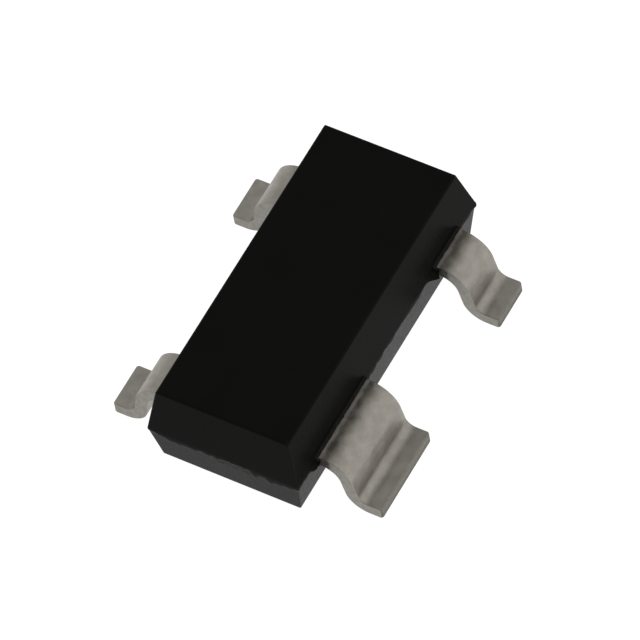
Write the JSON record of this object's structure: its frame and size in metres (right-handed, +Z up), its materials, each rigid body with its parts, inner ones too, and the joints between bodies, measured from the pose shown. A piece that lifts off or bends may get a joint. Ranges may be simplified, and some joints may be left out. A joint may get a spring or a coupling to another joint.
{
  "type": "tvs diode array",
  "caption": "Drafted black moulded chip package standing on gull-wing leads, the widest marking its ground corner; it clamps voltage surges on signal lines.",
  "frame": {"origin": "on the seating plane of the feet, under the middle of the part", "axes": "+X along the body, away from the wide lead's end; +Y across the body, away from the wide lead's side; +Z up"},
  "size_m": [0.0028, 0.0024, 0.0009],
  "materials": {
    "epoxy": "matte",
    "tinned_lead": "satin",
    "silicon": "polished",
    "silver_adhesive": "matte",
    "gold_wire": "polished"
  },
  "bodies": {
    "root": {"moulded_body": "epoxy", "wide_lead_with_die_pad": "tinned_lead", "narrow_lead_beside_wide": "tinned_lead", "narrow_lead_opposite_narrow": "tinned_lead", "narrow_lead_opposite_wide": "tinned_lead", "silicon_die": "silicon", "die_attach": "silver_adhesive", "bond_wire_beside_wide": "gold_wire", "bond_wire_opposite_narrow": "gold_wire", "bond_wire_opposite_wide": "gold_wire"}
  },
  "joints": []
}
